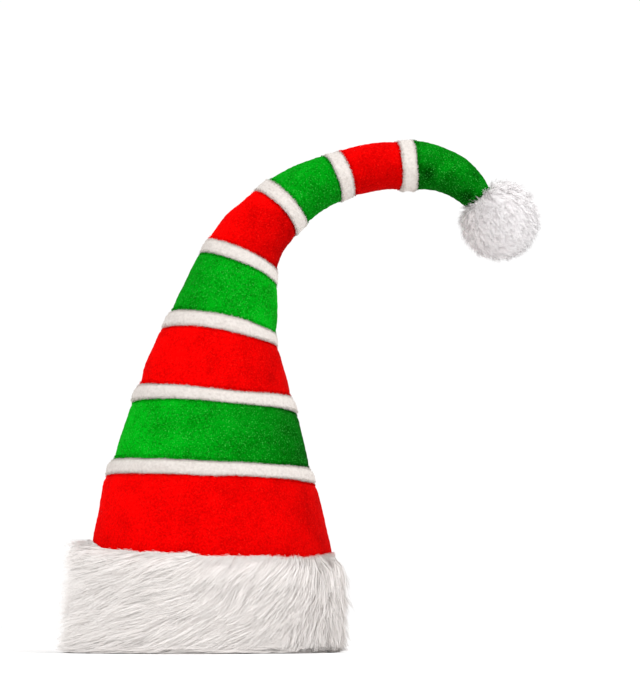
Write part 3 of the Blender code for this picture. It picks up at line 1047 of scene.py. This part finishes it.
def make_trim_backing(material):
    """The trim's knitted backing with its undercoat, folded under the plush as a hem."""
    angle = full_turn(BACKING_SIDES)
    heights = np.linspace(BACKING_FOOT, TRIM_HEIGHT, BACKING_LEVELS)
    inside = -(PLUSH_WALL + GAP + LINING_WALL)
    rows = stacked(
        grown(crown_sections(heights), GAP + FUR_BACKING),
        grown(crown_sections(np.array([TRIM_HEIGHT, HEM_HEIGHT])), GAP),
        grown(crown_sections(np.array([HEM_HEIGHT, BACKING_FOOT])), inside),
        grown(crown_sections(np.array([0.0])), inside / 2),
    )
    grid, turns, base = laid_out(rows, angle)
    relief = np.zeros(turns.shape)
    shown = slice(1, len(heights))
    below_line = fur_line(angle)[None, :] - heights[shown][:, None]
    share, less = UNDERCOAT_SHARES
    start, end = UNDERCOAT_REACH
    depth = UNDERCOAT_DEPTH * fade(heights[shown], 0.0, UNDERCOAT_FOOT)[:, None]
    depth = depth * fade(below_line, start, end + INNER_REACH * np.cos(angle))
    depth = depth * (share - less * np.cos(angle))
    thinned = BACKING_THINNED * (1 - fade(below_line, *THINNED_REACH))
    relief[shown] = UNDERCOAT * ripple(base[shown], *BACKING_NOISE) + depth - thinned
    points, _ = surface(grid, turns, relief)
    lower = (TRIM_HEIGHT - fur_line(angle) + BACKING_MARGIN) / TRIM_HEIGHT
    points[..., 2] *= 1 - lower * fade(points[..., 2], HEM_HEIGHT, TRIM_HEIGHT)
    mesh = mesh_of("fur_trim_backing", skin(points, closed=True))
    made = link("fur_trim_backing", mesh, material, "fur_trim")


def pompom_frame():
    """The pompom's middle, its axis away from the tip, and its seat's angle round the middle."""
    tip = SEAMS[-1]
    radius = POMPOM_CORE / 2
    seat = math.asin(tip.half_width / radius)
    axis = onward(np.array(tip.lean))
    return tip.centre + axis * (GAP / 2 + radius * math.cos(seat)), axis, seat


def make_pompom_core(material):
    """The pompom's knotted heart, seated on the tip."""
    centre, axis, seat = pompom_frame()
    tip = SEAMS[-1]
    angle = full_turn(CORE_SIDES)[:, None]
    first, last = CORE_ENDS
    polar = np.linspace(seat + first, math.pi - last, CORE_LEVELS)
    at = np.concatenate([[-POMPOM_CORE / 2 * math.cos(seat)], -POMPOM_HEART * np.cos(polar)])
    size = np.concatenate([[tip.half_width * CORE_NECK], POMPOM_HEART * np.sin(polar)])
    ring = across(np.array(tip.lean)) * np.cos(angle) + BACK * np.sin(angle)
    rows = centre + axis * at[:, None, None] + ring[None] * size[:, None, None]
    rows[1:] += unit(rows[1:] - centre) * (UNDERCOAT * ripple(rows[1:], *CORE_NOISE))[..., None]
    mesh = mesh_of("pompom_core", skin(rows))
    link("pompom_core", mesh, material, "pompom")


def spread_directions(count):
    """Directions spread evenly over a ball."""
    turn = math.pi * (1 + math.sqrt(5)) * np.arange(count)
    level = 1 - (2 * np.arange(count) + 1) / count
    across_it = np.sqrt(1 - level**2)
    return np.stack([across_it * np.cos(turn), across_it * np.sin(turn), level], axis=-1)


def make_pompom_fur(material):
    """The pompom's strands, in locks that sweep away from the tip."""
    centre, axis, seat = pompom_frame()
    centre = centre + np.array(POMPOM_SHIFT)
    chance = default_rng(POMPOM_SEED)
    root = unit(chance.normal(size=(POMPOM_STRANDS * 2, 3)))
    root = root[root @ axis > -math.cos(seat + POMPOM_BARE)][:POMPOM_STRANDS]
    count = len(root)
    lock = spread_directions(POMPOM_LOCKS)
    lock = unit(lock + POMPOM_STRAY * chance.normal(size=lock.shape))
    chunks = np.array_split(root, BALL_CHUNKS)
    mine = np.concatenate([np.argmax(chunk @ lock.T, axis=1) for chunk in chunks])
    tall = (1 - POMPOM_UNEVEN * np.abs(chance.normal(size=POMPOM_LOCKS)))[mine]
    upright = (chance.random(POMPOM_LOCKS) < UPRIGHT)[mine]
    tall = np.where(upright, UPRIGHT_REACH, tall)
    reach = POMPOM_RADIUS * tall * chance.uniform(*POMPOM_HAIRS, count)
    gather = np.where(upright, UPRIGHT_GATHER, 1.0) * POMPOM_GATHER
    loose = POMPOM_LOOSE * chance.normal(size=(count, 3))
    by_lock, by_strand = SWEEP_SPREADS
    sweep = POMPOM_SWEEP * (1 + by_lock * ripple(lock, *SWEEP_NOISE)[mine])
    sweep = sweep * (1 + by_strand * chance.normal(size=count))
    sweep = sweep * np.where(upright, UPRIGHT_SWEEP, 1.0)
    paths = np.empty((count, len(HAIR_SHARES), 3))
    for k, share in enumerate(HAIR_SHARES):
        pull = (gather * share**2)[:, None]
        way = unit(unit(root + loose * share) * (1 - pull) + lock[mine] * pull)
        way = unit(way + axis * (sweep * share**SWEEP_POWER)[:, None])
        far = POMPOM_ROOT + (reach - POMPOM_ROOT) * (1 - (1 - share) ** POMPOM_RISING)
        paths[:, k] = centre + way * far[:, None]
    link_fur("pompom_fur", paths, root, BALL_LOOKS, chance, material, "pompom", centre, BALL_BLEND)


def make_lining(material):
    """The red lining: a thin dome with its open end on the hem, a little slack inside."""
    angle = full_turn(LINING_SIDES)
    grid, turns, base = laid_out(hollow_sections(0.0), angle)
    slack = LINING_SLACK * np.maximum(0.0, ripple(base, *LINING_NOISE))
    inner, _ = surface(grid, turns, -slack * fade(base[..., 2], HEM_HEIGHT, LINING_TAUT))
    outer = laid_out(hollow_sections(LINING_WALL), angle)[2]
    mesh = mesh_of("lining", skin(np.concatenate([inner, outer[::-1]])))
    made = link("lining_cloth", mesh, material, "lining")


class Looks:
    """A material that is being made. A node's inputs and output go by their identifiers."""

    def __init__(self, name, roughness, specular, sheen, sheen_tint):
        self.material = bpy.data.materials.new(name)
        self.material.use_nodes = True
        self.tree = self.material.node_tree
        self.coords = self.node("TexCoord", "Object", {})
        self.shade({
            "Roughness": roughness,
            "Specular IOR Level": specular,
            "Sheen Weight": sheen,
            "Sheen Roughness": SHEEN_ROUGHNESS,
            "Sheen Tint": (*sheen_tint, 1.0),
        })

    def feed(self, made, inputs):
        """Sets a node's inputs, or links them to other nodes' sockets."""
        for socket in made.inputs:
            value = inputs.get(socket.identifier)
            if isinstance(value, bpy.types.NodeSocket):
                self.tree.links.new(value, socket)
            elif value is not None:
                socket.default_value = value

    def shade(self, inputs):
        """Sets or links the shader's inputs."""
        self.feed(self.tree.nodes["Principled BSDF"], inputs)

    def node(self, kind, output, inputs, **settings):
        """The output of a new shader node."""
        made = self.tree.nodes.new("ShaderNode" + kind)
        for key, value in settings.items():
            setattr(made, key, value)
        self.feed(made, inputs)
        return next(socket for socket in made.outputs if socket.identifier == output)

    def noise(self, scale, detail, roughness=0.5):
        """Noise with that many features to the metre."""
        return self.node("TexNoise", "Fac", {
            "Vector": self.coords, "Scale": scale, "Detail": detail, "Roughness": roughness})

    def ramp(self, value, stops, colours):
        """A ramp between two colours, where a number stands for a grey."""
        made = self.tree.nodes.new("ShaderNodeValToRGB")
        for element, stop, colour in zip(made.color_ramp.elements, stops, colours):
            element.position = stop
            element.color = (*(colour if isinstance(colour, tuple) else (colour,) * 3), 1.0)
        self.feed(made, {"Fac": value})
        return made.outputs["Color"]

    def maths(self, operation, first, second):
        """What a maths node makes of two sockets or numbers."""
        return self.node("Math", "Value", {"Value": first, "Value_001": second}, operation=operation)

    def weighed(self, first, second, share):
        """The first socket by that share and the second by the rest."""
        return self.maths("ADD", self.maths("MULTIPLY", first, share),
                          self.maths("MULTIPLY", second, 1 - share))

    def mixed(self, share, first, second):
        """Two colours mixed by a socket."""
        inputs = {"Factor_Float": share, "A_Color": first, "B_Color": second}
        return self.node("Mix", "Result_Color", inputs, data_type="RGBA")

    def value_of(self, name):
        """The number that the mesh keeps at each point under that name."""
        return self.node("Attribute", "Fac", {}, attribute_name=name)

    def bump(self, height, distance, strength):
        """Relief from a height."""
        inputs = {"Height": height, "Distance": distance, "Strength": strength}
        self.shade({"Normal": self.node("Bump", "Normal", inputs)})


def plush_material(name, deep, pale, painted_glint, painted_shade_strength, crushing):
    """Short crushed plush: patches, a fine grain and painted glints where tufts catch the light.

    The mesh's own values paint shade on it, darker on the inner side of the curl and paler on the outer,
    and crushed patches show only where those values darken it.
    """
    looks = Looks(name, *PLUSH_SURFACE, pale)
    grain = looks.noise(*PLUSH_GRAIN)
    tone = looks.weighed(looks.noise(*PLUSH_PATCHES), grain, PATCH_SHARE)
    colour = looks.ramp(tone, PLUSH_STOPS, (deep, pale))
    # Painted shade kept on the mesh: the colour is darkened by this value times its strength
    way = looks.value_of("brushed")
    shade = looks.maths("SUBTRACT", 1.0, looks.maths("MULTIPLY", way, painted_shade_strength))
    # Crushed patches of pile, shown only where the painted shade darkens it
    crushed = looks.ramp(looks.noise(*PLUSH_CRUSHING), CRUSHED_STOPS, (0.0, crushing))
    deeper = looks.maths("MULTIPLY", crushed, looks.maths("MAXIMUM", way, 0.0))
    shade = looks.maths("MULTIPLY", shade, looks.maths("SUBTRACT", 1.0, deeper))
    colour = looks.node("VectorMath", "Vector", {"Vector": colour, "Scale": shade}, operation="SCALE")
    # Painted glints: dots of a paler colour where tufts catch the light
    painted_glints = looks.ramp(looks.noise(*PLUSH_GLINT_NOISE), PAINTED_GLINT_STOPS, (0.0, PAINTED_GLINT_SHARE))
    looks.shade({"Base Color": looks.mixed(painted_glints, colour, (*painted_glint, 1.0))})
    looks.bump(grain, *PLUSH_BUMP)
    return looks.material


def fleece_material():
    """Off-white fleece with small curls."""
    looks = Looks("white_fleece", *FLEECE_SURFACE, FLEECE_SHEEN)
    curls = looks.noise(*FLEECE_CURLS)
    looks.shade({"Base Color": looks.ramp(curls, FLEECE_STOPS, FLEECE)})
    looks.bump(curls, *FLEECE_BUMP)
    return looks.material


def fur_material(name, root, shade, tip, sheen):
    """Long white fur: a colour at the roots, painted light on the trim and painted shade on the pompom,
    and for the rest its tip colour mixed in soft patches with a colour of painted shade.
    """
    looks = Looks(name, *FUR_SURFACE, sheen, WHITE)
    patches = looks.noise(*FUR_PATCHES)
    # Painted shade in soft random patches, mixed with the tip colour
    colour = looks.ramp(patches, FUR_STOPS, (shade, tip))
    # The root colour, painted light on the trim and painted shade on the pompom, shows low on each strand
    depth = looks.ramp(looks.value_of("along"), TIP_STOPS, (0.0, 1.0))
    looks.shade({
        "Base Color": looks.mixed(depth, (*root, 1.0), colour),
        "Roughness": looks.ramp(patches, EVEN_STOPS, FUR_ROUGHNESS),
    })
    return looks.material


def lining_material():
    """Thin red cloth in a fine twill."""
    looks = Looks("lining_twill", *LINING_SURFACE, LINING_SHEEN)
    twill = looks.node("TexWave", "Fac", {"Vector": looks.coords, **TWILL}, bands_direction="DIAGONAL")
    tone = looks.weighed(twill, looks.noise(*LINING_SHADE), TWILL_SHARE)
    looks.shade({"Base Color": looks.ramp(tone, EVEN_STOPS, LINING)})
    looks.bump(twill, *LINING_BUMP)
    return looks.material


def floor_material():
    """A plain pale floor."""
    looks = Looks("pale_floor", *FLOOR_SURFACE, WHITE)
    looks.shade({"Base Color": looks.ramp(looks.noise(*FLOOR_SHADE), EVEN_STOPS, FLOOR)})
    return looks.material


def make_floor():
    """A wide disc under the hat."""
    ring = FLOOR_RADIUS * circle(full_turn(FLOOR_SIDES))
    mesh = bpy.data.meshes.new("floor")
    mesh.from_pydata(ring.tolist(), [], [list(range(len(ring)))])
    mesh.materials.append(floor_material())
    floor = placed("floor", mesh)


def link_aimed(name, data, place):
    """A light or a camera at a place, aimed at the middle of the hat."""
    made = placed(name, data)
    made.location = place
    made.rotation_euler = (Vector(LOOK_AT) - Vector(place)).to_track_quat("-Z", "Y").to_euler()
    return made


def make_studio():
    """Soft light from all round, with a little more from both sides in front and from above."""
    world = bpy.data.worlds.new("studio")
    world.use_nodes = True
    background = world.node_tree.nodes["Background"]
    background.inputs["Color"].default_value = (*WHITE, 1.0)
    background.inputs["Strength"].default_value = WORLD_LIGHT
    bpy.context.scene.world = world
    for name, (place, size, power) in LIGHTS.items():
        light = bpy.data.lights.new(name, "AREA")
        light.size = size
        light.energy = power
        link_aimed(name, light, place)
    make_floor()


def make_camera():
    """The photograph's view, from just above the floor."""
    data = bpy.data.cameras.new("camera")
    data.lens = LENS
    bpy.context.scene.camera = link_aimed("camera", data, CAMERA_AT)


def make_stripes():
    """All the plush stripes and fleece bands."""
    plushes = {key: plush_material(key + "_plush", *looks) for key, looks in PLUSHES.items()}
    fleece = fleece_material()
    make_crown(plushes["red"], CROWN_SEED)
    for seed, stretch in zip(STRIPE_SEEDS, STRETCHES[2:]):
        key = stretch.name.split("_")[0]
        if key == "white":
            make_band(stretch.name, fleece, seed)
        else:
            make_panel(stretch.name, plushes[key], seed)


def make_fur():
    """The trim and the pompom."""
    fur, ball = (fur_material(name, *looks) for name, looks in FURS.items())
    make_trim_backing(fur)
    for name, seed in TRIM_HALVES.items():
        chance = default_rng(seed)
        paths, way = trim_paths(HALF_STRANDS, chance)
        link_fur(name, paths, way, TRIM_LOOKS, chance, fur, "fur_trim")
    make_edge_fur(fur)
    make_pompom_core(ball)
    make_pompom_fur(ball)


bpy.context.scene.view_settings.view_transform = "Standard"
make_camera()
make_studio()
make_stripes()
make_fur()
make_lining(lining_material())
